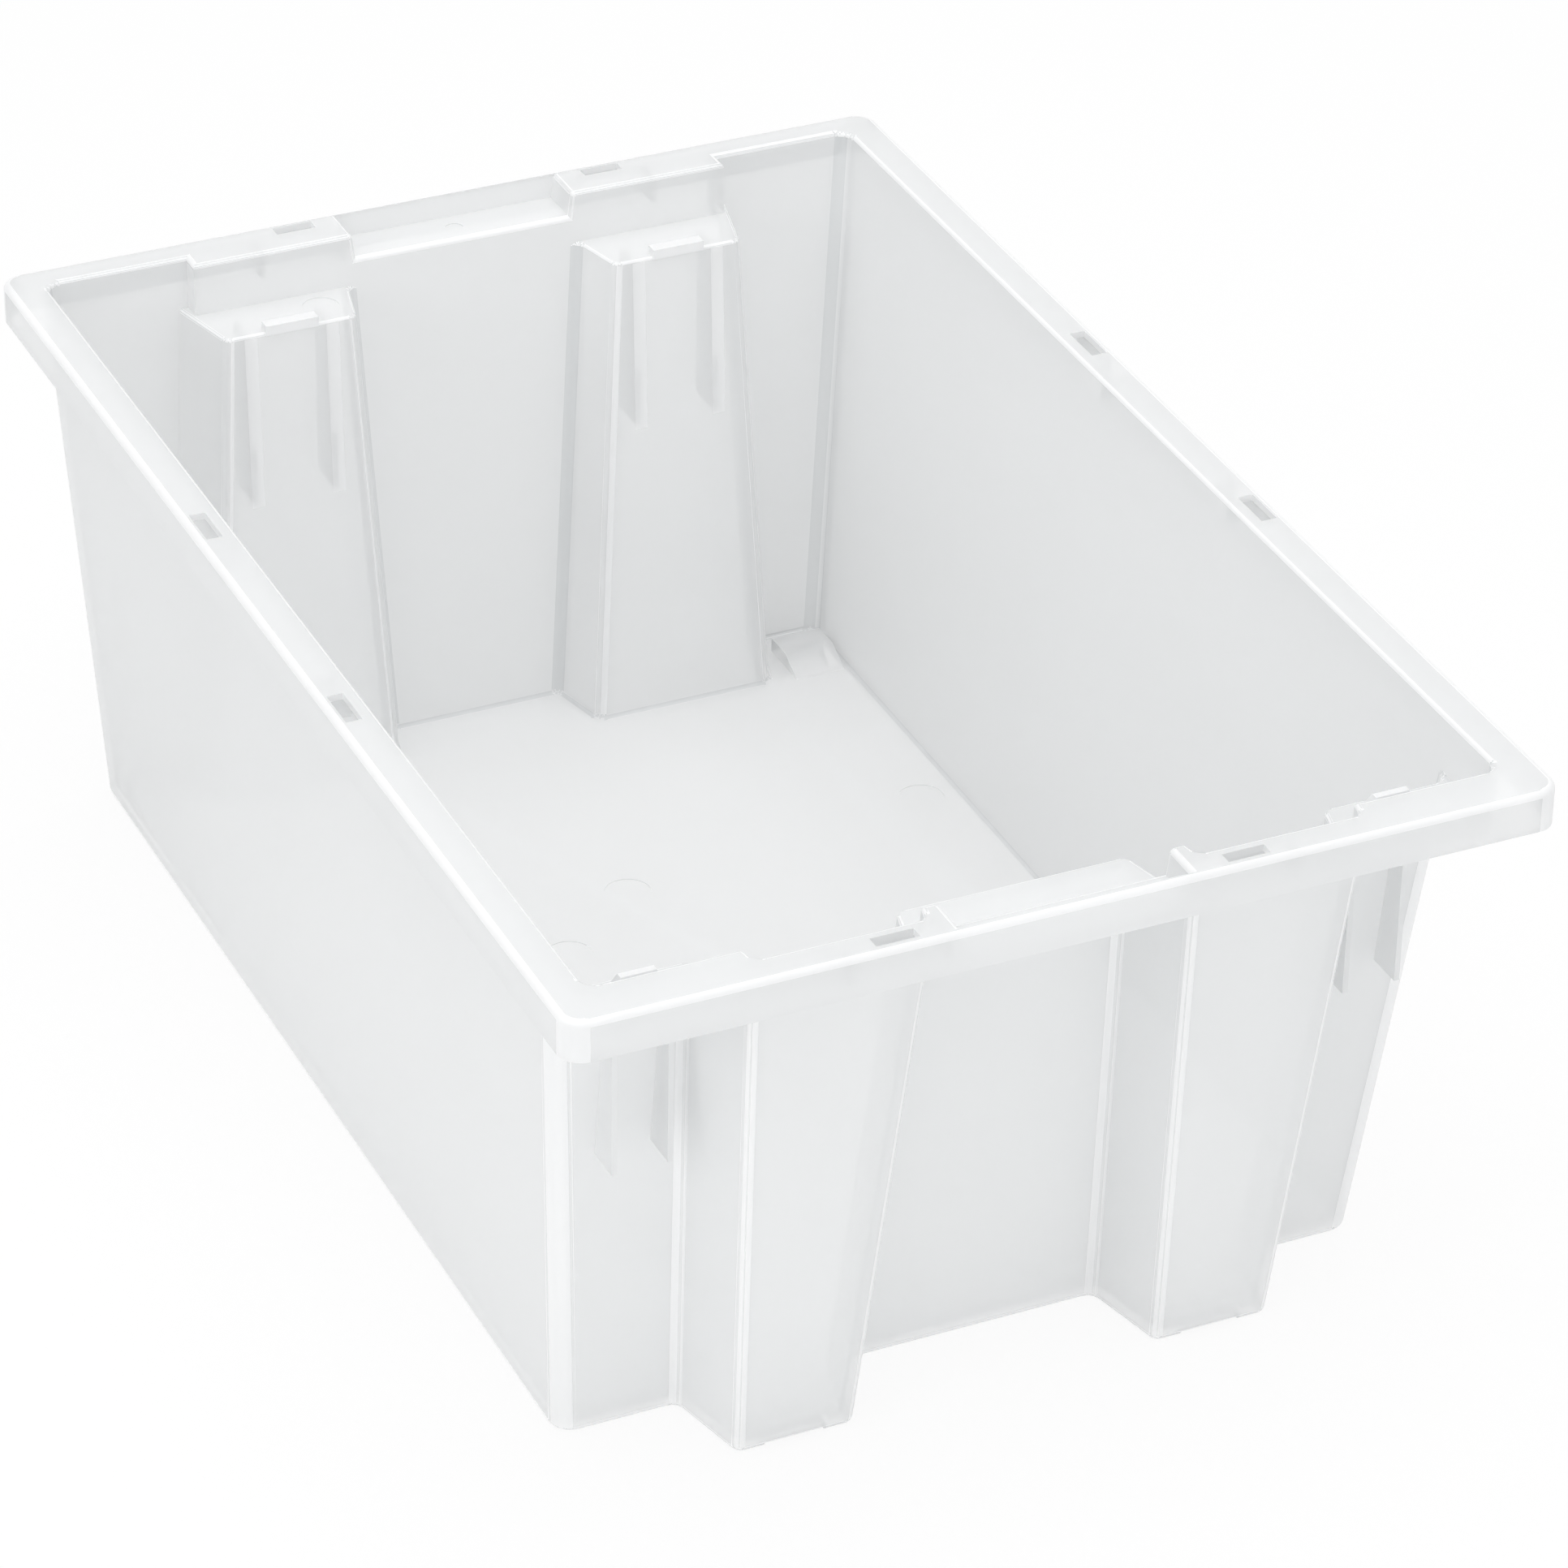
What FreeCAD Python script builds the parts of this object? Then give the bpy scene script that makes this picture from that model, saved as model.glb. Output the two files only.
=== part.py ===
import FreeCAD, Part
import Sketcher
import math
import os
import re

# A stack and nest container, moulded in one piece.
# The origin is at the middle of the base. +Z is up, +X points to the end with the two feet,
# and -X to the end with the two columns. Every size is in millimetres.

# Driving sizes. A lean is how much further in a face stands at the base than at the rim.
SIZES = {
    # Whole piece
    "length": (597, "over the rim, end to end"),
    "width": (394, "over the rim, side to side"),
    "height": (241, "base to rim"),
    "wall": (2.8, "side walls and ledges"),
    "base_wall": (3, "floor"),
    # Walls, outer faces
    "rim_side": (13, "rim's overhang beyond a long side"),
    "side_lean": (16.2, "lean of a long side"),
    "rim_end": (10.5, "rim's overhang beyond the far corner bays and the feet"),
    "far_lean": (11.7, "lean of the far corner bays"),
    "bay_step": (8.5, "how far the far wall stands in from its corner bays"),
    "bay_lean": (9.2, "lean of the far wall between the corner bays"),
    "bay_reach": (30, "where a corner bay begins, out from the middle of a column"),
    "recess_lean": (31.5, "lean of the near wall beside the feet"),
    "band_step": (7.7, "how far the near wall above the ledges stands in from the feet"),
    "ledge_drop": (23, "stacking ledges, below the rim"),
    # Feet and columns, which stand opposite each other
    "post_in": (110, "middle of a foot or column, in from the rim's side"),
    "foot_deep": (36.2, "foot's depth at the base"),
    "foot_lean": (32.1, "lean of a foot's front"),
    "foot_half": (35.8, "half width of a foot's front at the rim"),
    "foot_spread": (11.8, "how much narrower that half is at the base"),
    "foot_flare": (0.235, "how a foot widens towards its root, per millimetre"),
    "foot_root": (20, "how far a foot is carried back into the hull"),
    "column_deep": (28.3, "column's depth at the base"),
    "column_lean": (12.7, "lean of a column's front"),
    "column_half": (24.6, "half width of a column's groove, carried on up to the rim"),
    "column_spread": (13.6, "how much wider that half is at the base"),
    "column_flare": (0.245, "how a groove widens towards its root, per millimetre"),
    # Rounds
    "hull_round": (9, "outer corners of the hull"),
    "post_round": (4.5, "upright edges of feet and columns"),
    "foot_round": (3.5, "edge round the base"),
    "floor_round": (2, "edge round the floor, inside"),
    "ledge_round": (1.5, "edges along the ledges, inside"),
    "rim_round": (9, "corners of the rim in plan"),
    "lip_round": (2.6, "top edge of the rim, outside"),
    "mouth_round": (2.2, "top edge of the rim, inside"),
    # Rim
    "rim_wall": (2.8, "flat top of the rim"),
    "skirt": (17, "height of the skirt that hangs from the rim"),
    "skirt_wall": (2.4, "skirt"),
    # Channels through the rim at the middle of both ends
    "near_channel_half": (46, "half width of the channel between the feet"),
    "far_channel_half": (49.5, "half width of the channel between the columns"),
    "channel_deep": (10.8, "channels, below the rim"),
    "channel_draft": (1.5, "how much narrower each half is at its floor"),
    # Slots, blocks and webs of the rim
    "end_slot_from": (61, "end slot, side nearer the middle"),
    "end_slot_to": (78, "end slot, side nearer the corner"),
    "end_slot_wide": (5.5, "end slot across the rim"),
    "side_slot_from": (63, "side slot, end nearer the middle"),
    "side_slot_to": (83, "side slot, end nearer the corner"),
    "side_slot_wide": (6.5, "side slot across the rim"),
    "slot_edge": (1.2, "flat left between a slot and the skirt"),
    "block_from": (47, "block under the rim, end nearer the middle"),
    "block_to": (61, "block under the rim, end nearer the corner"),
    "block_drop": (12, "block's depth below the rim top"),
    "web_wall": (2.2, "webs and plates"),
    "web_shift": (1.5, "web, out from the middle of a foot or column"),
    "web_drop": (13, "web's depth below the rim top"),
    # Plates behind the columns, and ribs under the near corner ledges
    "plate_pitch": (18, "plate from the middle of its column"),
    "plate_deep": (15, "plate's depth behind the column front"),
    "plate_tall": (79, "plate's height below the ledge"),
    "rib_inner": (59.5, "rib nearer the foot, in from the rim's side"),
    "rib_outer": (37.5, "rib nearer the corner, in from the rim's side"),
    "rib_end": (45, "outer edge of the ribs, in from the rim's end"),
    # Lugs on the ledges, and the raised pockets of the floor that take them
    "lug_half": (11.5, "half width of a lug on a column ledge"),
    "lug_deep": (4.5, "that lug along the container"),
    "lug_tall": (3.4, "that lug above its ledge"),
    "key_in": (46, "middle of a lug on a near corner ledge, in from the rim's side"),
    "key_half": (7, "half width of that lug"),
    "key_end": (43.5, "outer face of that lug, in from the rim's end"),
    "key_deep": (9, "that lug along the container"),
    "key_slope": (6, "sloping part of that lug"),
    "key_tall": (6.4, "that lug above its ledge"),
    "pocket_slack": (1, "room round a lug in its pocket"),
    "pocket_wall": (2, "plastic above a pocket"),
    "bump_edge": (4.6, "solid edge of a bump beside its pocket"),
    "bump_ramp": (13, "sloping part of a corner bump"),
    "bump_back": (7, "corner bump behind its pocket"),
    # Shallow round marks of the mould
    "mark_deep": (0.3, "marks"),
    "floor_mark": (10, "radius of the marks on the floor"),
    "ledge_mark": (7.7, "radius of the mark on a column ledge"),
    "mark_1_end": (190.5, "first floor mark, in from the rim's far end"),
    "mark_1_side": (194, "first floor mark, in from the rim's side"),
    "mark_2_end": (171.5, "second floor mark, in from the rim's far end"),
    "mark_2_side": (49, "second floor mark, in from the rim's side"),
    "mark_3_end": (224.5, "third floor mark, in from the rim's far end"),
    "mark_3_side": (235, "third floor mark, in from the rim's side"),
    "gate_mark": (3.8, "radius of the mark in a channel"),
    # Cutting tools run past the faces that they open
    "over": (1, "run past a face"),
}

# Each leaning face's distance from the middle at the rim, and its lean.
FACES = {
    "side": ("width / 2 - rim_side", "side_lean"),
    "far": ("length / 2 - rim_end", "far_lean"),
    "bay": ("length / 2 - rim_end - bay_step", "bay_lean"),
    "foot": ("length / 2 - rim_end", "foot_lean"),
    "foot_half": ("foot_half", "foot_spread"),
    "recess": ("length / 2 - rim_end - foot_lean - foot_deep + recess_lean", "recess_lean"),
    "column": ("length / 2 - rim_end - bay_step - bay_lean - column_deep + column_lean", "column_lean"),
    "column_half": ("column_half", "-column_spread"),
}

POST = "(width / 2 - post_in)"
LEDGE = "(height - ledge_drop)"
BAND = "(length / 2 - rim_end - band_step)"
INSIDE_SKIRT = "(length / 2 - skirt_wall)"
HANDS = (("right", ""), ("left", "-"))

doc = FreeCAD.newDocument("stack_nest_container")
sheet = doc.addObject("Spreadsheet::Sheet", "Sizes")
for row, (name, (value, note)) in enumerate(SIZES.items(), start=1):
    sheet.set(f"A{row}", name)
    sheet.set(f"B{row}", str(value))
    sheet.set(f"C{row}", note)
    sheet.setAlias(f"B{row}", name)
doc.recompute()

ALIAS = re.compile(r"\b(" + "|".join(SIZES) + r")\b")


def bound(text):
    """The expression for a formula written with the names of the sizes."""
    return ALIAS.sub(r"Sizes.\1", text)


def size(name):
    """One size as a number."""
    return float(getattr(sheet, name))


def at(level, face):
    """A leaning face's distance from the middle at a level."""
    top, lean = FACES[face]
    return f"({top} - ({lean}) * (1 - ({level}) / height))"


def wedge(name, levels, x_ranges, y_ranges):
    """A frustum between two rectangles."""
    solid = doc.addObject("Part::Wedge", name)
    places = {"Ymin": levels[0], "Ymax": levels[1]}
    for number, (x_start, x_end), (y_start, y_end) in zip(("", "2"), x_ranges, y_ranges):
        places[f"X{number}min"], places[f"X{number}max"] = x_start, x_end
        places[f"Z{number}min"], places[f"Z{number}max"] = f"-({y_end})", f"-({y_start})"
    # A wedge grows along its own Y, which is stood up here to point along +Z.
    solid.Placement = FreeCAD.Placement(FreeCAD.Vector(), FreeCAD.Rotation(FreeCAD.Vector(1, 0, 0), 90))
    for prop, place in places.items():
        solid.setExpression(prop, bound(place))
    return solid


def box(name, x_range, y_range, z_range):
    """A box between pairs of places."""
    solid = doc.addObject("Part::Box", name)
    for prop, axis, (start, end) in zip(("Length", "Width", "Height"), "xyz", (x_range, y_range, z_range)):
        solid.setExpression(prop, bound(f"({end}) - ({start})"))
        solid.setExpression(f"Placement.Base.{axis}", bound(start))
    return solid


def mark(name, x_place, y_place, radius, level):
    """A shallow round recess in a face at one level."""
    solid = doc.addObject("Part::Cylinder", name)
    solid.setExpression("Radius", bound(radius))
    solid.setExpression("Height", bound("mark_deep + over"))
    for axis, place in zip("xyz", (x_place, y_place, f"{level} - mark_deep")):
        solid.setExpression(f"Placement.Base.{axis}", bound(place))
    return solid


def outline(name, level, corners):
    """A closed sketch with straight sides at one level, each corner held at its own two places."""
    sketch = doc.addObject("Sketcher::SketchObject", name)
    sketch.setExpression("Placement.Base.z", bound(level))
    count = len(corners)
    ring = [FreeCAD.Vector(math.cos(math.tau * turn / count), math.sin(math.tau * turn / count), 0)
            for turn in range(count)]
    for index in range(count):
        sketch.addGeometry(Part.LineSegment(ring[index], ring[(index + 1) % count]), False)
    for index, corner in enumerate(corners):
        sketch.addConstraint(Sketcher.Constraint("Coincident", index, 2, (index + 1) % count, 1))
        for kind, place, start in zip(("DistanceX", "DistanceY"), corner, ring[index]):
            number = sketch.addConstraint(Sketcher.Constraint(kind, -1, 1, index, 1, start))
            label = f"{kind}_{index}"
            sketch.renameConstraint(number, label)
            sketch.setExpression(f"Constraints.{label}", bound(place))
    doc.recompute()
    return [sketch.Placement.multVec(sketch.getPoint(index, 1)) for index in range(count)]


def flat_sided(name, levels, corners_at):
    """A solid with flat sides between two outlines, where a loft would make curved surfaces."""
    low, high = [outline(f"{name}_{end}", level, corners_at(level))
                 for end, level in zip(("low", "high"), levels)]
    sides = [(low[index - 1], low[index], high[index], high[index - 1]) for index in range(len(low))]
    faces = [Part.Face(Part.makePolygon([*ring, ring[0]])) for ring in (low, high, *sides)]
    solid = doc.addObject("Part::Feature", name)
    solid.Shape = Part.makeSolid(Part.makeShell(faces))
    return solid


def fuse(name, parts):
    joined = doc.addObject("Part::MultiFuse", name)
    joined.Shapes = parts
    joined.Refine = True
    return joined


def cut(name, base, tools):
    """The base less its tools."""
    result = doc.addObject("Part::Cut", name)
    result.Base = base
    result.Tool = tools[0] if len(tools) == 1 else fuse(f"{name}_tools", tools)
    result.Refine = True
    return result


def rounded(name, base, radius_of):
    """Rounds each edge of a solid by the radius that radius_of() gives, where that isn't zero."""
    doc.recompute()
    result = doc.addObject("Part::Fillet", name)
    result.Base = base
    radii = [(number, radius_of(edge)) for number, edge in enumerate(base.Shape.Edges, start=1)]
    result.Edges = [(number, radius, radius) for number, radius in radii if radius]
    return result


def upright(edge):
    return edge.BoundBox.ZLength > 0.9 * edge.Length


# Places that differ by less than this are the same place.
TOUCH = 0.01


def lies_at(edge, level):
    return max(abs(edge.BoundBox.ZMin - level), abs(edge.BoundBox.ZMax - level)) < TOUCH


def edge_ring(level, radius):
    """Rounds the edges that lie at one level."""
    return lambda edge: radius if lies_at(edge, level) else 0


def hull_corner(edge):
    """An upright edge between a long side and an end."""
    side_at_base = size("width") / 2 - size("rim_side") - size("side_lean")
    return upright(edge) and abs(edge.CenterOfMass.y) > side_at_base - size("hull_round")


def post_radius(edge):
    """The round of an upright edge of a foot or a column. The short steps above the ledges stay sharp."""
    far_wall = size("length") / 2 - size("rim_end") - size("bay_step") - size("bay_lean") / 2
    above_ledges = edge.BoundBox.ZMin > (size("height") - size("ledge_drop")) / 2
    if not upright(edge) or hull_corner(edge) or edge.CenterOfMass.x < -far_wall or above_ledges:
        return 0
    return size("post_round")


def hull(name, inset, base, turn, top):
    """The tapered form with its feet and columns, from base to top, with the ledges at the turn.

    The cavity is the same form, inset by a wall.
    """
    def across(level):
        half = f"({at(level, 'side')} - {inset})"
        return f"-{half}", half

    def far(level):
        return f"-{at(level, 'far')} + {inset}"

    def bay(level):
        return "-length", f"-{at(level, 'bay')} + {inset}"

    lower = wedge(f"{name}_lower", (base, turn),
                  [(far(level), f"{at(level, 'recess')} - {inset}") for level in (base, turn)],
                  [across(base), across(turn)])
    upper = wedge(f"{name}_upper", (turn, top), [(far(level), f"{BAND} - {inset}") for level in (turn, top)],
                  [across(turn), across(top)])
    under, above = f"{base} - over", f"{top} + over"
    bay_half = f"({POST} + bay_reach + {inset})"
    bay_cut = wedge(f"{name}_bay", (under, above), [bay(under), bay(above)], [(f"-{bay_half}", bay_half)] * 2)

    feet, columns = [], []
    for hand, sign in HANDS:
        middle = f"{sign}{POST}"

        def foot(level):
            front = f"({at(level, 'foot')} - {inset})"
            half = f"({at(level, 'foot_half')} - {inset})"
            root = f"({at('0', 'recess')} - foot_root)"
            wide = f"({half} + foot_flare * ({front} - {root}))"
            return [(root, f"{middle} - {wide}"), (front, f"{middle} - {half}"),
                    (front, f"{middle} + {half}"), (root, f"{middle} + {wide}")]

        def column(level):
            front = f"({at(level, 'column')} - {inset})"
            half = f"({at(level, 'column_half')} + {inset})"
            root = "(length / 2)"
            wide = f"({half} + column_flare * ({root} - {front}))"
            return [(f"-{front}", f"{middle} - {half}"), (f"-{front}", f"{middle} + {half}"),
                    (f"-{root}", f"{middle} + {wide}"), (f"-{root}", f"{middle} - {wide}")]

        feet.append(flat_sided(f"{name}_{hand}_foot", (base, top), foot))
        columns.append(flat_sided(f"{name}_{hand}_column", (under, turn), column))

    solid = cut(f"{name}_form", fuse(f"{name}_block", [lower, upper, *feet]), [bay_cut, *columns])
    corner_round = size("hull_round") - (size("wall") if inset == "wall" else 0)
    corners = rounded(f"{name}_corners", solid, lambda edge: corner_round if hull_corner(edge) else 0)
    return rounded(f"{name}_posts", corners, post_radius)


def half_ranges(start, end):
    """A range on the positive side of the middle and its mirror image."""
    return [("plus", (start, end)), ("minus", (f"-({end})", f"-({start})"))]


# The walls, feet and columns, as they look from outside.
outer = hull("outer", "0", "0", f"{LEDGE} - wall", "height")
outer = rounded("outer_base", outer, edge_ring(0, size("foot_round")))

# The rim: a flat top with a skirt round it.
rim_block = box("rim_block", ("-length / 2", "length / 2"), ("-width / 2", "width / 2"),
                ("height - skirt", "height"))
rim_outside = rounded("rim_outside", rim_block, lambda edge: size("rim_round") if upright(edge) else 0)
rim_outside = rounded("rim_top", rim_outside, edge_ring(size("height"), size("lip_round")))
rim_hollow = box("rim_hollow", (f"-{INSIDE_SKIRT}", INSIDE_SKIRT),
                 ("skirt_wall - width / 2", "width / 2 - skirt_wall"),
                 ("height - skirt - over", "height - rim_wall"))
rim_inside = rounded("rim_inside", rim_hollow,
                     lambda edge: size("rim_round") - size("skirt_wall") if upright(edge) else 0)
rim = cut("rim", rim_outside, [rim_inside])

# What hangs below the rim and stands behind the walls. The cavity trims all of it inside.
WALL_FACE = f"({at('height - skirt', 'bay')} - wall)"
CHANNEL_FLOOR = "(height - channel_deep)"
CHANNEL_INNER_END = "(length / 2 - rim_end - foot_lean)"
stiffeners = []
openings = []
channels = []
for end, near in (("near", True), ("far", False)):
    def along(start, end_place, near=near):
        return (start, end_place) if near else (f"-({end_place})", f"-({start})")

    half = f"{end}_channel_half"
    stiffeners.append(box(f"{end}_channel_walls", along(WALL_FACE, INSIDE_SKIRT),
                          (f"-{half} - wall", f"{half} + wall"),
                          (f"{CHANNEL_FLOOR} - wall", "height - lip_round")))
    narrow = f"({half} - channel_draft)"
    channels.append(wedge(f"{end}_channel", (CHANNEL_FLOOR, "height + over"),
                          [along(CHANNEL_INNER_END, INSIDE_SKIRT)] * 2,
                          [(f"-{narrow}", narrow), (f"-{half}", half)]))
    for hand, across in half_ranges(f"{POST} + web_shift - web_wall / 2", f"{POST} + web_shift + web_wall / 2"):
        stiffeners.append(box(f"{end}_{hand}_web", along(WALL_FACE, INSIDE_SKIRT), across,
                              ("height - web_drop", "height - over")))
    for hand, across in half_ranges("end_slot_from", "end_slot_to"):
        openings.append(box(f"{end}_{hand}_slot",
                            along(f"{INSIDE_SKIRT} - slot_edge - end_slot_wide", f"{INSIDE_SKIRT} - slot_edge"),
                            across, ("height - rim_wall - over", "height + over")))
for side_name, across in half_ranges("width / 2 - skirt_wall - slot_edge - side_slot_wide",
                                     "width / 2 - skirt_wall - slot_edge"):
    for place, along_x in half_ranges("side_slot_from", "side_slot_to"):
        openings.append(box(f"side_{side_name}_{place}_slot", along_x, across,
                            ("height - rim_wall - over", "height + over")))
for side_name, across in half_ranges(f"{at('height - block_drop', 'side')} - wall", "width / 2 - skirt_wall"):
    for place, along_x in half_ranges("block_from", "block_to"):
        stiffeners.append(box(f"side_{side_name}_{place}_block", along_x, across,
                              ("height - block_drop", "height - over")))

# Plates behind each column, and ribs under each near corner ledge.
hanging = (f"{LEDGE} - plate_tall", f"{LEDGE} - wall")
for hand, sign in HANDS:
    for place, shift in (("inner", "- plate_pitch"), ("outer", "+ plate_pitch")):
        middle = f"{sign}({POST} {shift})"
        front = at(LEDGE, "column")
        stiffeners.append(box(f"{hand}_{place}_plate", (f"-({front} + plate_deep)", f"-({front} - wall)"),
                              (f"{middle} - web_wall / 2", f"{middle} + web_wall / 2"), hanging))
    for place, inward in (("inner", "rib_inner"), ("outer", "rib_outer")):
        middle = f"{sign}(width / 2 - {inward})"
        stiffeners.append(box(f"{hand}_{place}_rib",
                              (f"{at(hanging[0], 'recess')} - wall", "length / 2 - rib_end"),
                              (f"{middle} - web_wall / 2", f"{middle} + web_wall / 2"), hanging))

skin = cut("skin", fuse("moulding", [outer, rim, *stiffeners]), openings)

# Lugs on the ledges, and bumps in the floor whose pockets take the lugs of the container below.
raised = []
pockets = []
for hand, sign in HANDS:
    front = f"({at(LEDGE, 'column')} - wall)"
    raised.append(box(f"{hand}_column_lug", (f"-({front} + lug_deep)", f"-({front} - over)"),
                      (f"{sign}{POST} - lug_half", f"{sign}{POST} + lug_half"),
                      (f"{LEDGE} - over", f"{LEDGE} + lug_tall")))
    key_back = "(length / 2 - key_end - key_deep)"
    key_front = "(length / 2 - key_end)"
    key = f"{sign}(width / 2 - key_in)"
    raised.append(wedge(f"{hand}_corner_lug", (f"{LEDGE} - over", f"{LEDGE} + key_tall"),
                        [(key_back, key_front), (f"{key_back} + key_slope", key_front)],
                        [(f"{key} - key_half", f"{key} + key_half")] * 2))
    # A corner bump stands at the far end, where the container above is turned round.
    key_room = "(key_half + pocket_slack)"
    pocket_top = "(key_tall + pocket_slack)"
    pockets.append(wedge(f"{hand}_corner_pocket", ("-over", pocket_top),
                         [(f"-({key_front} + pocket_slack)", f"-({key_back} - pocket_slack)"),
                          (f"-({key_front} + pocket_slack)", f"-({key_back} + key_slope - pocket_slack)")],
                         [(f"{key} - {key_room}", f"{key} + {key_room}")] * 2))
    bump = f"({key_room} + bump_edge - pocket_slack)"
    bump_far = f"-({key_front} + pocket_slack + bump_back)"
    crest = f"{key_back} + key_slope / 2"
    raised.append(wedge(f"{hand}_corner_bump", ("base_wall", f"{pocket_top} + pocket_wall"),
                        [(bump_far, f"-({crest} - bump_ramp)"), (bump_far, f"-({crest})")],
                        [(f"{key} - {bump}", f"{key} + {bump}")] * 2))
    # A foot bump stands against the front of its foot.
    lug_room = "(lug_half + pocket_slack)"
    lug_top = "(lug_tall + pocket_slack)"
    pockets.append(box(f"{hand}_foot_pocket", (f"{front} - pocket_slack", f"{front} + lug_deep + pocket_slack"),
                       (f"{sign}{POST} - {lug_room}", f"{sign}{POST} + {lug_room}"), ("-over", lug_top)))
    raised.append(box(f"{hand}_foot_bump",
                      (f"{front} - pocket_slack - bump_edge", f"{front} + lug_deep + pocket_slack + wall"),
                      (f"{sign}{POST} - {lug_room} - wall", f"{sign}{POST} + {lug_room} + wall"),
                      ("base_wall - over", f"{lug_top} + pocket_wall")))

# The space inside, with a floor, the ledges, and the channels through both ends of the rim.
inner = hull("inner", "wall", "base_wall", LEDGE, "height + over")
inner = rounded("inner_floor", inner, edge_ring(size("base_wall"), size("floor_round")))


def ledge_radius(edge):
    """The round of the edges along the ledges. Those against the far wall stay sharp."""
    far_wall = size("length") / 2 - size("rim_end") - size("bay_step") - size("wall")
    far_wall -= size("bay_lean") * size("ledge_drop") / size("height")
    against_far_wall = edge.CenterOfMass.x < TOUCH - far_wall
    if not lies_at(edge, size("height") - size("ledge_drop")) or against_far_wall:
        return 0
    return size("ledge_round")


inner = rounded("inner_ledges", inner, ledge_radius)
space = cut("space", fuse("inside", [inner, *channels]), raised)

# Faint round marks that the mould leaves.
marks = [mark("left_ledge_mark", f"-({at(LEDGE, 'column')} + ledge_mark + wall)",
              f"-({POST} - plate_pitch)", "ledge_mark", LEDGE)]
for number in (1, 2, 3):
    marks.append(mark(f"floor_mark_{number}", f"mark_{number}_end - length / 2",
                      f"width / 2 - mark_{number}_side", "floor_mark", "base_wall"))
for end, x_sign in (("near", ""), ("far", "-")):
    marks.append(mark(f"{end}_gate_mark", f"{x_sign}({at('height', 'bay')} + rim_wall + gate_mark)", "0",
                      "gate_mark", CHANNEL_FLOOR))

unrounded = cut("unrounded", skin, [space, *pockets, *marks])


def mouth_radius(edge):
    """The round of the rim's inner edge, which dips where the channels pass through the end walls."""
    place, reach = edge.CenterOfMass, edge.BoundBox
    end_slots = size("length") / 2 - size("skirt_wall") - size("slot_edge") - size("end_slot_wide")
    side_slots = size("width") / 2 - size("skirt_wall") - size("slot_edge") - size("side_slot_wide")
    clear_of_slots = abs(place.x) < end_slots - TOUCH and abs(place.y) < side_slots - TOUCH
    along_rim = lies_at(edge, size("height")) and clear_of_slots
    end_walls = size("length") / 2 - size("rim_end") - size("band_step")
    inside_channel = reach.ZMin > size("height") - size("channel_deep") - TOUCH and abs(place.x) < end_walls
    in_wall = inside_channel and abs(place.y) < size("far_channel_half") and not lies_at(edge, size("height"))
    return size("mouth_round") if along_rim or in_wall else 0


container = rounded("container", unrounded, mouth_radius)
doc.recompute()
for item in doc.Objects:
    if "Invalid" in item.State or "Error" in item.State:
        raise RuntimeError(f"{item.Name} failed: {item.State}")
shape = container.Shape
if shape.isNull() or not shape.isValid() or len(shape.Solids) != 1:
    raise RuntimeError("the container is not one sound solid")
print("solids", len(shape.Solids), "volume", shape.Volume)
os.makedirs("parts", exist_ok=True)
shape.exportStep("parts/container.step")
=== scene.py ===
import math

import bmesh
import bpy
from bpy.props import FloatProperty, FloatVectorProperty
from mathutils import Matrix, Vector


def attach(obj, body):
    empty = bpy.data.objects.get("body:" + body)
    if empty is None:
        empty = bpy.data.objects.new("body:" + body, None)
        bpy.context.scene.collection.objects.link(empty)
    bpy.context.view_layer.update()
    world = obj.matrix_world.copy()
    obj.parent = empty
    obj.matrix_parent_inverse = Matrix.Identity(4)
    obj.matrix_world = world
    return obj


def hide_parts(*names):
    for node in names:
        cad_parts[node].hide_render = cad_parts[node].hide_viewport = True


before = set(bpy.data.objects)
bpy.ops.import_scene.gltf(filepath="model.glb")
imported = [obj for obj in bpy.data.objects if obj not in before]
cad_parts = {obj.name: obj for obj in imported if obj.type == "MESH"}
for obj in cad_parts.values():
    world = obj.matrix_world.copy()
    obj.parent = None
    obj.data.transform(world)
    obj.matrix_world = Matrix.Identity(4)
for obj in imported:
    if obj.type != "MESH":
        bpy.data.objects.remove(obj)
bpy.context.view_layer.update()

bl_info = {
    "name": "Stack and nest container",
    "version": (1, 0, 0),
    "blender": (4, 5, 0),
    "location": "View3D > Sidebar > Container",
    "description": "Dresses the moulded container, its stage and its camera",
    "category": "Object",
}


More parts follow.
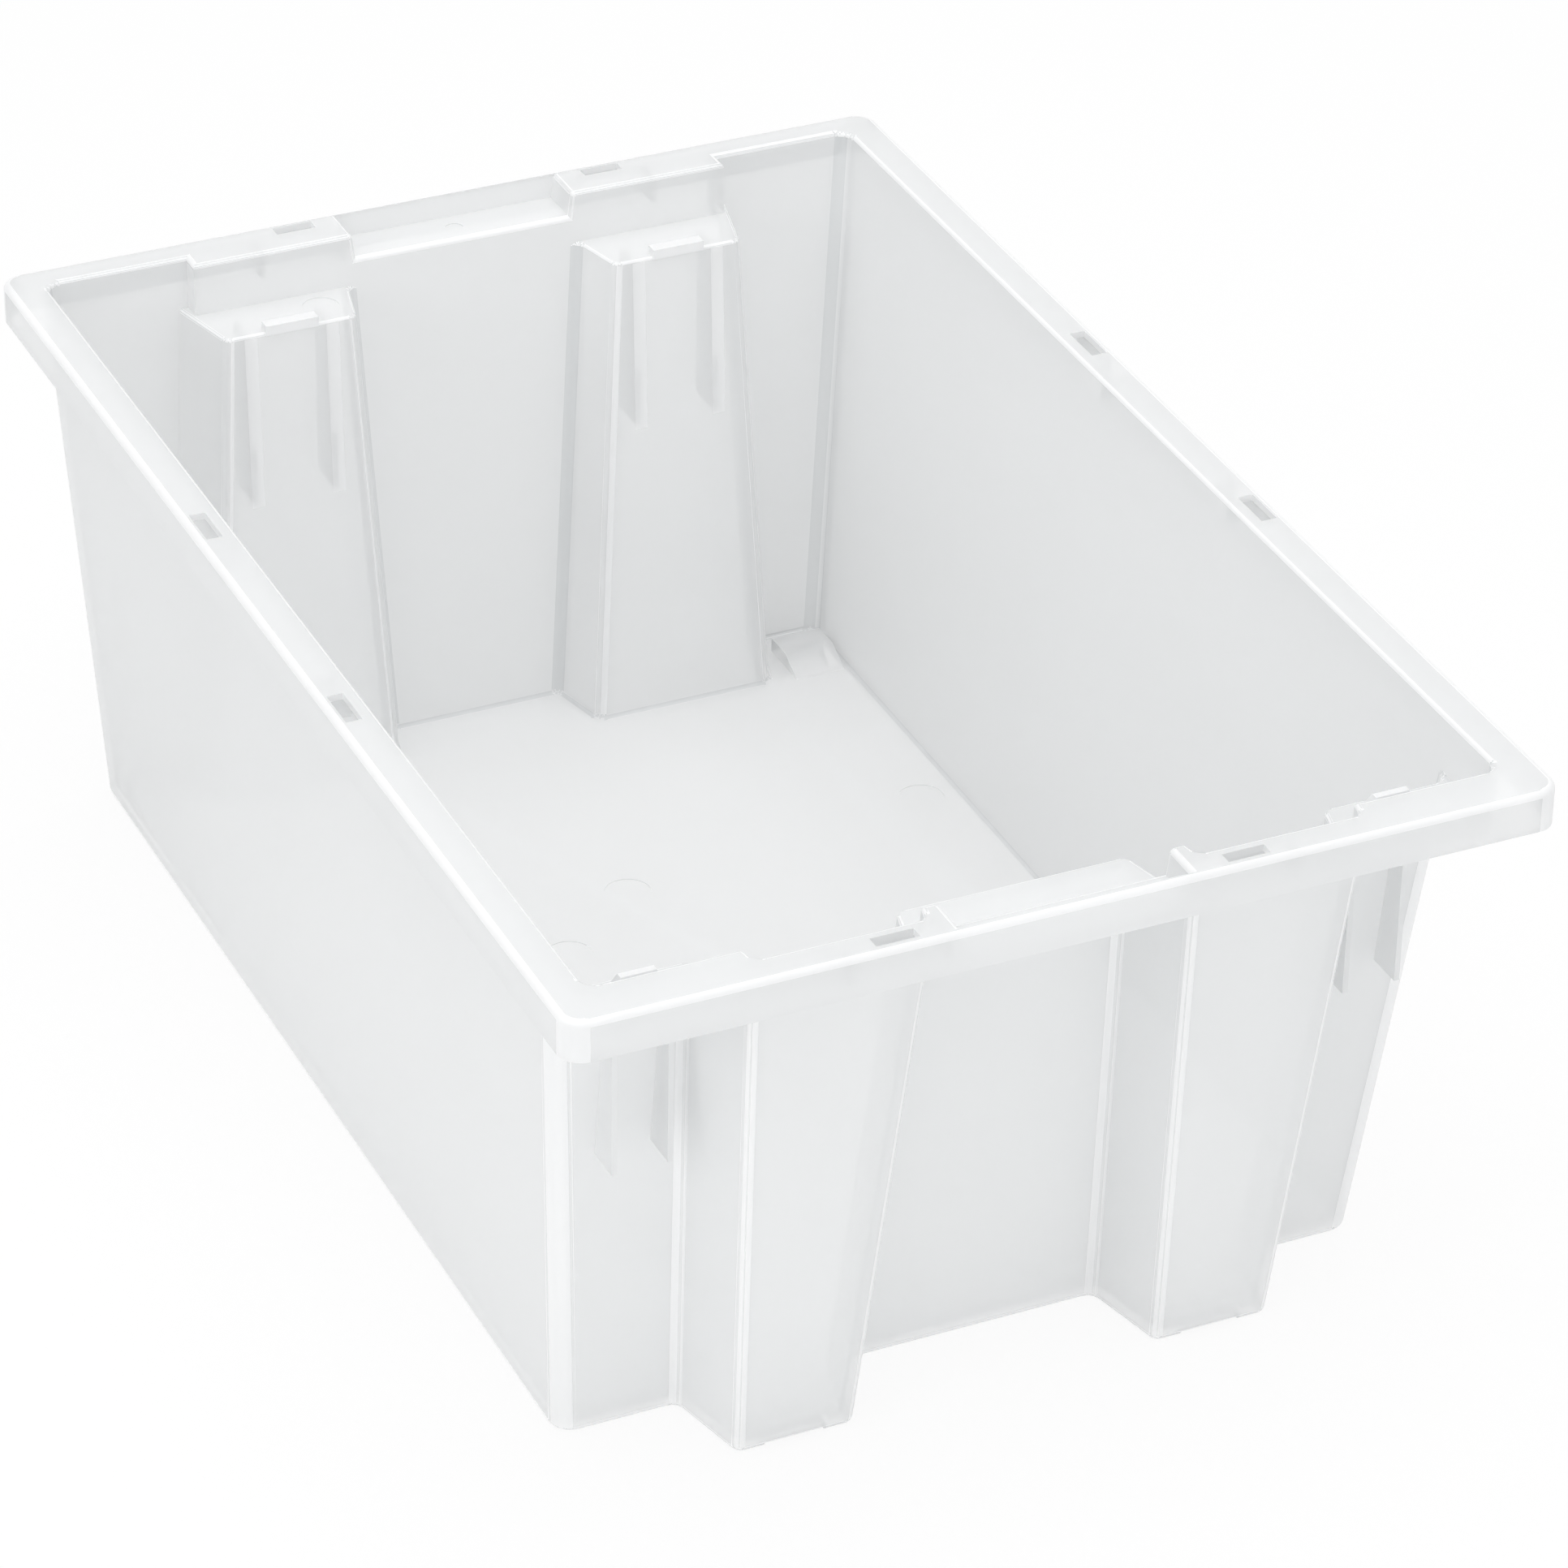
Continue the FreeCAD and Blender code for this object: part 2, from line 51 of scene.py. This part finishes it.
class ContainerSettings(bpy.types.PropertyGroup):
    """What a user of the container would change"""

    plastic_color: FloatVectorProperty(
        name="Plastic colour", description="Colour of the natural plastic", subtype="COLOR",
        size=3, min=0, max=1, default=(0.925, 0.935, 0.94))
    # Painted highlight: the whiter colour given to outward edges and plate strips, standing in for light
    # that gathers there
    edge_highlight_color: FloatVectorProperty(
        name="Edge colour", description="Colour of outward edges, where light gathers", subtype="COLOR",
        size=3, min=0, max=1, default=(0.98, 0.985, 0.99))
    # Painted shade: the darker colour given to inward corners, standing in for the shade that falls there
    crease_shade_color: FloatVectorProperty(
        name="Crease colour", description="Colour of inward corners, where light leaves", subtype="COLOR",
        size=3, min=0, max=1, default=(0.74, 0.76, 0.77))
    solidity: FloatProperty(
        name="Solidity", description="Share of the light that one face of a wall stops",
        min=0, max=1, default=0.62)
    # Part of the painted highlight: outward edges let less light through, so they read whiter
    edge_highlight_solidity: FloatProperty(
        name="Edge solidity", description="Share of the light that an outward edge stops",
        min=0, max=1, default=0.85)
    clearness: FloatProperty(
        name="Clearness", description="Share of the stopped light that passes on bent, as in glass",
        min=0, max=1, default=0.2)
    frost: FloatProperty(
        name="Frost", description="Roughness of the moulded surface", min=0, max=1, default=0.36)
    edge_round: FloatProperty(
        name="Edge round", description="Round of the small moulded edges", unit="LENGTH",
        min=0, max=0.003, default=0.0006)
    grain_size: FloatProperty(
        name="Grain size", description="Size of the fine grain of the mould", unit="LENGTH",
        min=0.0001, max=0.01, default=0.0012)
    floor_color: FloatVectorProperty(
        name="Floor colour", description="Colour of the studio floor", subtype="COLOR",
        size=3, min=0, max=1, default=(0.92, 0.92, 0.92))
    lamp_power: FloatProperty(
        name="Lamp power", description="Power of the large soft lamp above", unit="POWER",
        min=0, max=1000, default=26)
    front_power: FloatProperty(
        name="Front lamp power", description="Power of the soft lamp low in front", unit="POWER",
        min=0, max=1000, default=16)
    side_power: FloatProperty(
        name="Side lamp power", description="Power of the soft lamp beside the near long side", unit="POWER",
        min=0, max=1000, default=12)
    sky_level: FloatProperty(
        name="Sky level", description="Level of the even light from all round", min=0, max=2, default=0.72)
    camera_roll: FloatProperty(
        name="Camera roll", description="How far the camera leans to one side", unit="ROTATION",
        default=math.radians(1.05))


X, Y, Z = range(3)
WHITE = (1, 1, 1, 1)

# The solid comes as loose triangles, whose corners and planes agree to these limits
SAME_PLACE = 1e-6
SAME_PLANE = math.radians(0.5)
# Edges that turn more than the first angle are rounded, and those past the second shade as sharp
ROUND_FROM = math.radians(28)
SHARP_FROM = math.radians(35)
ROUND_SEGMENTS = 2
# How strongly wide faces keep their own direction where they meet rounds
WIDE_FACE_WEIGHT = 100

# Mesh attributes that say how much of an outward edge or an inward corner each face is: the first carries a
# painted highlight, the second painted shade
EDGE_HIGHLIGHT = "edge"
CREASE_SHADE = "crease_shade"
# A face narrower than the first width is all edge or crease, and one wider than the second is neither
EDGE_HIGHLIGHT_WIDTHS = (0.004, 0.013)
CREASE_SHADE_WIDTHS = (0.001, 0.003)
# A face that runs on flat into its neighbours along more than this share of its outline is left unmarked
FLAT = math.radians(2)
FLUSH_SHARE = 0.3

# The plates behind the end walls stand out by PLATE_DEEP, and their heights lie between two limits
PLATE_DEEP = 0.015
PLATE_TALL = (0.06, 0.095)
# How squarely a plate's side faces across the container, and a wall along it
PLATE_SQUARE = 0.95
WALL_SQUARE = 0.9
# Smaller faces than this aren't walls
WALL_AREA = 0.0004
# The whiter strip that a plate makes in the wall is a painted highlight: its half width, and its share of
# the edge highlight
STRIP_HALF = 0.0017
STRIP_HIGHLIGHT = 0.8

PLASTIC_IOR = 1.49
# Slow clouding of the plastic: its darkest share of the colour, where it starts and ends, its swing in frost
CLOUD_SCALE = 9
CLOUD_DETAIL = 3
CLOUD_DIP = 0.985
CLOUD_SPAN = (0.3, 0.7)
FROST_SWING = 0.04
# Fine grain of the mould
GRAIN_DETAIL = 2
GRAIN_STRENGTH = 0.15
GRAIN_HEIGHT = 0.0001

# The floor runs this far each way, and this share of what is seen of it is plain white
FLOOR_REACH = 12
FLOOR_ROUGHNESS = 0.9
FLOOR_WHITENESS = 0.87
# Each soft square lamp's place and width, and the point that all of them face
LAMPS = {
    "overhead": ((0, 0, 2.4), 2.4),
    "front": ((3.4, -0.6, 0.5), 1.5),
    "side": ((0.8, -3.0, 1.3), 1.2),
}
LAMP_AIM = (0, 0, 0.12)
# The camera that was solved from the photograph's straight edges, in metres, with its lens in millimetres
CAMERA_PLACE = (2.0717, -0.9475, 1.5446)
CAMERA_AIM = (0.00974, 0.01894, 0.12)
LENS_LENGTH = 155.65
SENSOR_WIDTH = 36


def settings():
    """The container's settings in the open scene"""
    return bpy.context.scene.container_settings


def new_node(tree, kind, place):
    """A new node at its place in the node editor"""
    node = tree.nodes.new(kind)
    node.location = place
    return node


def face_mark(tree, name, place):
    """What the shaded face's attribute of that name holds, from 0 to 1"""
    mark = new_node(tree, "ShaderNodeAttribute", place)
    mark.attribute_name = name
    return mark.outputs["Fac"]


def noise(tree, coordinates, scale, detail, place):
    """Noise on the object's own coordinates"""
    texture = new_node(tree, "ShaderNodeTexNoise", place)
    texture.inputs["Scale"].default_value = scale
    texture.inputs["Detail"].default_value = detail
    tree.links.new(coordinates.outputs["Object"], texture.inputs["Vector"])
    return texture.outputs["Fac"]


def clouded(tree, cloud, color, place):
    """The colour, a little darker where the cloud is low"""
    tint = new_node(tree, "ShaderNodeValToRGB", place)
    low, high = tint.color_ramp.elements
    low.position, high.position = CLOUD_SPAN
    low.color = (*(channel * CLOUD_DIP for channel in color), 1)
    high.color = (*color, 1)
    tree.links.new(cloud, tint.inputs["Fac"])
    return tint.outputs["Color"]


def towards_color(tree, color, share, other, place):
    """A colour that goes to the other one as the share goes from 0 to 1"""
    mixed = new_node(tree, "ShaderNodeMix", place)
    mixed.data_type = "RGBA"
    mixed.inputs["B"].default_value = (*other, 1)
    tree.links.new(share, mixed.inputs["Factor"])
    tree.links.new(color, mixed.inputs["A"])
    return mixed.outputs["Result"]


def number_between(tree, source, low, high, place):
    """A number that goes from low to high as the source goes from 0 to 1"""
    span = new_node(tree, "ShaderNodeMapRange", place)
    span.inputs["To Min"].default_value = low
    span.inputs["To Max"].default_value = high
    tree.links.new(source, span.inputs["Value"])
    return span.outputs["Result"]


def moulded_grain(tree, grain, place):
    """The surface's direction with the mould's fine bumps"""
    bump = new_node(tree, "ShaderNodeBump", place)
    bump.inputs["Strength"].default_value = GRAIN_STRENGTH
    bump.inputs["Distance"].default_value = GRAIN_HEIGHT
    tree.links.new(grain, bump.inputs["Height"])
    return bump.outputs["Normal"]


def frosted_plastic(name):
    """Natural polypropylene: clear enough to see ribs through it, with a painted highlight where light
    gathers in narrow outward forms, and painted shade in inward corners
    """
    values = settings()
    material = bpy.data.materials.new(name)
    material.use_nodes = True
    tree = material.node_tree
    shader = tree.nodes["Principled BSDF"]
    shader.inputs["IOR"].default_value = PLASTIC_IOR
    shader.inputs["Transmission Weight"].default_value = values.clearness

    coordinates = new_node(tree, "ShaderNodeTexCoord", (-1100, 0))
    cloud = noise(tree, coordinates, CLOUD_SCALE, CLOUD_DETAIL, (-900, 200))
    grain = noise(tree, coordinates, 1 / values.grain_size, GRAIN_DETAIL, (-900, -300))
    # Where the painted highlight goes: outward edges and plate strips
    edge = face_mark(tree, EDGE_HIGHLIGHT, (-900, 400))
    # Where the painted shade goes: inward corners
    crease_shade = face_mark(tree, CREASE_SHADE, (-900, 600))

    color = clouded(tree, cloud, values.plastic_color, (-700, 200))
    # Painted highlight: outward edges and plate strips go towards the whiter edge colour
    color = towards_color(tree, color, edge, values.edge_highlight_color, (-400, 200))
    # Painted shade: inward corners go towards the darker crease colour
    color = towards_color(tree, color, crease_shade, values.crease_shade_color, (-200, 200))
    # Part of the painted highlight: outward edges are more solid, so they read whiter
    solidity = number_between(tree, edge, values.solidity, values.edge_highlight_solidity, (-400, 500))
    frost = number_between(tree, cloud, values.frost - FROST_SWING, values.frost + FROST_SWING, (-400, -60))
    normal = moulded_grain(tree, grain, (-400, -400))
    tree.links.new(color, shader.inputs["Base Color"])
    tree.links.new(solidity, shader.inputs["Alpha"])
    tree.links.new(frost, shader.inputs["Roughness"])
    tree.links.new(normal, shader.inputs["Normal"])
    return material


def join_triangles(form):
    """Merges the solid's loose triangles, and makes those in one plane one face"""
    bmesh.ops.remove_doubles(form, verts=form.verts, dist=SAME_PLACE)
    bmesh.ops.dissolve_limit(form, angle_limit=SAME_PLANE, verts=form.verts, edges=form.edges)


def round_edges(form, size):
    """Gives the shell's edges the small round of a moulded one"""
    sharp = [edge for edge in form.edges
             if len(edge.link_faces) == 2 and edge.calc_face_angle() > ROUND_FROM]
    bmesh.ops.bevel(form, geom=sharp, offset=size, offset_type="OFFSET", segments=ROUND_SEGMENTS,
                    profile=0.5, affect="EDGES", material=-1, clamp_overlap=True)


def mark_painted_edges_and_creases(form):
    """Notes on each narrow face whether it is an outward edge or an inward corner, and how narrow, for the
    painted highlight on edges and the painted shade in corners
    """
    layers = {name: form.faces.layers.float.new(name) for name in (EDGE_HIGHLIGHT, CREASE_SHADE)}
    for face in form.faces:
        outline = face.calc_perimeter()
        flush = sum(side.calc_length() for side in face.edges if abs(side.calc_face_angle_signed(0)) < FLAT)
        if flush > FLUSH_SHARE * outline:
            continue
        width = 2 * face.calc_area() / outline
        bend = sum(side.calc_face_angle_signed(0) * side.calc_length() for side in face.edges)
        looks_inward = face.normal.xy.dot(face.calc_center_median().xy) < 0
        narrow, wide = EDGE_HIGHLIGHT_WIDTHS if bend > 0 else CREASE_SHADE_WIDTHS
        kind = CREASE_SHADE if bend < 0 and looks_inward else EDGE_HIGHLIGHT
        face[layers[kind]] = min(1, max(0, (wide - width) / (wide - narrow)))


def reach(face, axis):
    """The lowest and highest place of a face along one axis"""
    places = [corner.co[axis] for corner in face.verts]
    return min(places), max(places)


def is_plate_side(face):
    """Whether a face is an upright side of a plate that stiffens an end wall under the rim"""
    start, end = reach(face, X)
    tall = face.calc_area() / PLATE_DEEP
    return (abs(face.normal[Y]) > PLATE_SQUARE and end - start < 2 * PLATE_DEEP
            and PLATE_TALL[0] < tall < PLATE_TALL[1])


def is_wall_before(face, plate_middle, root):
    """Whether a face is the inside of the wall whose outside holds a plate by its root"""
    left, right = reach(face, Y)
    looks_inward = face.normal[X] * plate_middle[X] < 0 and abs(face.normal[X]) > WALL_SQUARE
    return (looks_inward and left < plate_middle[Y] < right and face.calc_area() > WALL_AREA
            and abs(face.calc_center_median()[X] - root) < PLATE_DEEP)


def cut_faces(form, faces, place, across):
    """Cuts the faces along a plane, and gives the faces that they become"""
    parts = [*faces, *(part for face in faces for part in (*face.edges, *face.verts))]
    made = bmesh.ops.bisect_plane(form, geom=list(dict.fromkeys(parts)), dist=SAME_PLACE,
                                  plane_co=place, plane_no=across)
    return [part for part in made["geom"] if isinstance(part, bmesh.types.BMFace)]


def mark_plate_highlights(form):
    """Cuts each wall where a plate stands behind it, and marks the strip there for a painted highlight"""
    highlight_layer = form.faces.layers.float[EDGE_HIGHLIGHT]
    plates = [(face.calc_center_median(), reach(face, X), reach(face, Z)[0])
              for face in form.faces if is_plate_side(face)]
    for middle, ends, bottom in plates:
        root = min(ends, key=abs)
        pieces = [face for face in form.faces if is_wall_before(face, middle, root)]
        for side in (-STRIP_HALF, STRIP_HALF):
            pieces = cut_faces(form, pieces, place=(0, middle[Y] + side, 0), across=(0, 1, 0))
        pieces = cut_faces(form, pieces, place=(0, 0, bottom), across=(0, 0, 1))
        for face in pieces:
            place = face.calc_center_median()
            if abs(place[Y] - middle[Y]) < STRIP_HALF and place[Z] > bottom:
                # Painted highlight along the strip in front of the plate
                face[highlight_layer] = STRIP_HIGHLIGHT


class CONTAINER_OT_shell(bpy.types.Operator):
    """Makes the moulded shell from the solid, with its small edges rounded"""

    bl_idname = "container.shell"
    bl_label = "Moulded shell"

    def execute(self, context):
        form = bmesh.new()
        form.from_mesh(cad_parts["container"].data)
        join_triangles(form)
        round_edges(form, settings().edge_round)
        mark_painted_edges_and_creases(form)
        mark_plate_highlights(form)
        for face in form.faces:
            face.smooth = True
        mesh = bpy.data.meshes.new("container_shell")
        form.to_mesh(mesh)
        form.free()

        mesh.materials.append(frosted_plastic("natural_polypropylene"))
        shell = bpy.data.objects.new("container_shell", mesh)
        context.scene.collection.objects.link(shell)
        mesh.set_sharp_from_angle(angle=SHARP_FROM)
        normals = shell.modifiers.new("flat_faces", "WEIGHTED_NORMAL")
        normals.weight = WIDE_FACE_WEIGHT
        normals.keep_sharp = True
        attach(shell, "root")
        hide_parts("container")
        return {"FINISHED"}


def rays_that_see_white(tree):
    """1 for the rays that show the backdrop: to the camera, mirrored, or through the plastic"""
    path = new_node(tree, "ShaderNodeLightPath", (-900, 300))
    total = path.outputs["Is Camera Ray"]
    for kind, across in (("Is Glossy Ray", -600), ("Is Transmission Ray", -400)):
        either = new_node(tree, "ShaderNodeMath", (across, 300))
        either.operation = "MAXIMUM"
        tree.links.new(total, either.inputs[0])
        tree.links.new(path.outputs[kind], either.inputs[1])
        total = either.outputs["Value"]
    return total


def show_seen_or_lit(tree, share, lit, seen, output):
    """Gives the output the shader that is seen, by the share, and the one that is lit for the rest"""
    blend = new_node(tree, "ShaderNodeMixShader", (300, 0))
    tree.links.new(share, blend.inputs["Fac"])
    tree.links.new(lit, blend.inputs[1])
    tree.links.new(seen, blend.inputs[2])
    tree.links.new(blend.outputs["Shader"], output.inputs["Surface"])


def studio_white(name, color):
    """A pale floor that reads as white to the camera and still takes the object's soft shadow"""
    material = bpy.data.materials.new(name)
    material.use_nodes = True
    tree = material.node_tree
    shader = tree.nodes["Principled BSDF"]
    shader.inputs["Base Color"].default_value = (*color, 1)
    shader.inputs["Roughness"].default_value = FLOOR_ROUGHNESS
    glow = new_node(tree, "ShaderNodeEmission", (0, -200))
    glow.inputs["Color"].default_value = WHITE
    share = new_node(tree, "ShaderNodeMath", (0, 300))
    share.operation = "MULTIPLY"
    share.inputs[1].default_value = FLOOR_WHITENESS
    tree.links.new(rays_that_see_white(tree), share.inputs[0])
    show_seen_or_lit(tree, share.outputs["Value"], shader.outputs["BSDF"], glow.outputs["Emission"],
                     tree.nodes["Material Output"])
    return material


def studio_floor(color):
    """The flat floor that the container stands on"""
    mesh = bpy.data.meshes.new("floor")
    form = bmesh.new()
    bmesh.ops.create_grid(form, x_segments=1, y_segments=1, size=FLOOR_REACH)
    form.to_mesh(mesh)
    form.free()
    mesh.materials.append(studio_white("studio_floor", color))
    return bpy.data.objects.new("floor", mesh)


def studio_sky(level):
    """An even light from all round, with plain white where it is seen"""
    world = bpy.data.worlds.new("studio")
    world.use_nodes = True
    tree = world.node_tree
    light = tree.nodes["Background"]
    light.inputs["Color"].default_value = WHITE
    light.inputs["Strength"].default_value = level
    bright = new_node(tree, "ShaderNodeBackground", (0, -200))
    bright.inputs["Color"].default_value = WHITE
    show_seen_or_lit(tree, rays_that_see_white(tree), light.outputs["Background"],
                     bright.outputs["Background"], tree.nodes["World Output"])
    return world


def soft_lamp(name, power):
    """A square lamp that faces the container's middle"""
    place, width = LAMPS[name]
    light = bpy.data.lights.new(name, "AREA")
    light.shape = "SQUARE"
    light.size = width
    light.energy = power
    lamp = bpy.data.objects.new(name, light)
    lamp.location = place
    lamp.rotation_euler = (Vector(LAMP_AIM) - Vector(place)).to_track_quat("-Z", "Y").to_euler()
    return lamp


def photograph_camera(roll):
    """The camera at the photograph's place and angle, with its lens"""
    optics = bpy.data.cameras.new("camera")
    optics.sensor_width = SENSOR_WIDTH
    optics.lens = LENS_LENGTH
    camera = bpy.data.objects.new("camera", optics)
    place, aim = Vector(CAMERA_PLACE), Vector(CAMERA_AIM)
    turn = (aim - place).to_track_quat("-Z", "Y").to_matrix().to_4x4()
    camera.matrix_world = Matrix.Translation(place) @ turn @ Matrix.Rotation(roll, 4, "Z")
    return camera


class CONTAINER_OT_stage(bpy.types.Operator):
    """Makes the floor, the soft lights and the camera at the photograph's angle"""

    bl_idname = "container.stage"
    bl_label = "Stage and camera"

    def execute(self, context):
        values = settings()
        scene = context.scene

        floor = studio_floor(values.floor_color)
        scene.collection.objects.link(floor)
        scene.world = studio_sky(values.sky_level)

        powers = {"overhead": values.lamp_power, "front": values.front_power, "side": values.side_power}
        for name, power in powers.items():
            scene.collection.objects.link(soft_lamp(name, power))

        scene.camera = photograph_camera(values.camera_roll)
        scene.collection.objects.link(scene.camera)
        scene.view_settings.view_transform = "Standard"
        return {"FINISHED"}


class CONTAINER_PT_sidebar(bpy.types.Panel):
    """Lists the container's settings and steps"""

    bl_idname = "CONTAINER_PT_sidebar"
    bl_label = "Container"
    bl_space_type = "VIEW_3D"
    bl_region_type = "UI"
    bl_category = "Container"

    def draw(self, context):
        for name in ContainerSettings.__annotations__:
            self.layout.prop(settings(), name)
        for operator in OPERATORS:
            self.layout.operator(operator.bl_idname)


OPERATORS = (CONTAINER_OT_shell, CONTAINER_OT_stage)
CLASSES = (ContainerSettings, *OPERATORS, CONTAINER_PT_sidebar)


def register():
    for item in CLASSES:
        bpy.utils.register_class(item)
    bpy.types.Scene.container_settings = bpy.props.PointerProperty(type=ContainerSettings)


def unregister():
    del bpy.types.Scene.container_settings
    for item in reversed(CLASSES):
        bpy.utils.unregister_class(item)


def main():
    register()
    bpy.ops.container.shell()
    bpy.ops.container.stage()


if __name__ == "__main__":
    main()
